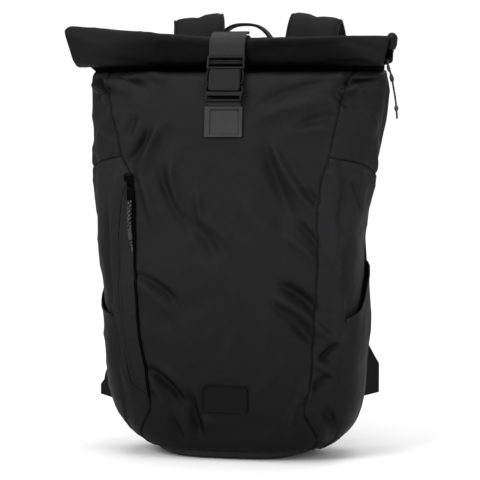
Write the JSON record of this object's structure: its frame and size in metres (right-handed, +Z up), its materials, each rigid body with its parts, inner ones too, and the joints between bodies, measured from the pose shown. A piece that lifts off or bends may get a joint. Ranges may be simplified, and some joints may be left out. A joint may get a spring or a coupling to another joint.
{
  "type": "rolltop backpack",
  "caption": "Soft rolltop backpack standing on its base, top rolled down and held by a webbing strap with a side-release buckle, with side pockets, front zip, grab handle and shoulder straps.",
  "frame": {"origin": "middle of the flat underside of the base", "axes": "+X to the side that is on the right when facing the front, +Y to the back where the shoulder straps are, +Z up"},
  "size_m": [0.3635, 0.1879, 0.479],
  "materials": {
    "shell": "dark charcoal coated nylon, faint sheen",
    "shell_side": "dark charcoal coated nylon, faint sheen",
    "padding": "matte padded nylon and mesh",
    "webbing": "ribbed dark grey webbing",
    "buckle": "satin moulded plastic",
    "patch": "matte soft rubber",
    "zip": "black zip parts",
    "cord": "braided grey cord"
  },
  "bodies": {
    "root": {"front_panel": "shell", "side_panel_left": "shell_side", "side_panel_right": "shell_side", "side_top_left": "shell", "side_top_right": "shell", "back_panel": "padding", "back_yoke": "shell", "base_panel": "shell", "roll_top": "shell", "pocket_left": "shell_side", "pocket_right": "shell_side", "zip_flap": "shell_side", "zip_garage": "zip", "zip_slider": "zip", "zip_pull": "zip", "closure_strap": "webbing", "strap_tail": "webbing", "buckle_ladder": "buckle", "buckle_insert": "buckle", "buckle_prong_left": "buckle", "buckle_prong_right": "buckle", "buckle_socket": "buckle", "buckle_loop": "webbing", "buckle_patch": "patch", "label_patch": "patch", "shoulder_strap_left": "padding", "shoulder_strap_right": "padding", "ladder_lock_left": "buckle", "ladder_lock_right": "buckle", "wing_left": "shell_side", "wing_right": "shell_side", "strap_webbing_left": "webbing", "strap_webbing_right": "webbing", "grab_handle": "webbing", "roll_zip_end": "shell", "roll_zip_slider": "zip", "front_pull_cord": "cord", "front_pull_tail": "cord", "front_pull_sleeve": "cord", "roll_pull_cord": "cord", "roll_pull_line": "cord", "roll_pull_tail": "cord", "roll_pull_knot": "cord", "roll_pull_bead": "cord"}
  },
  "joints": []
}
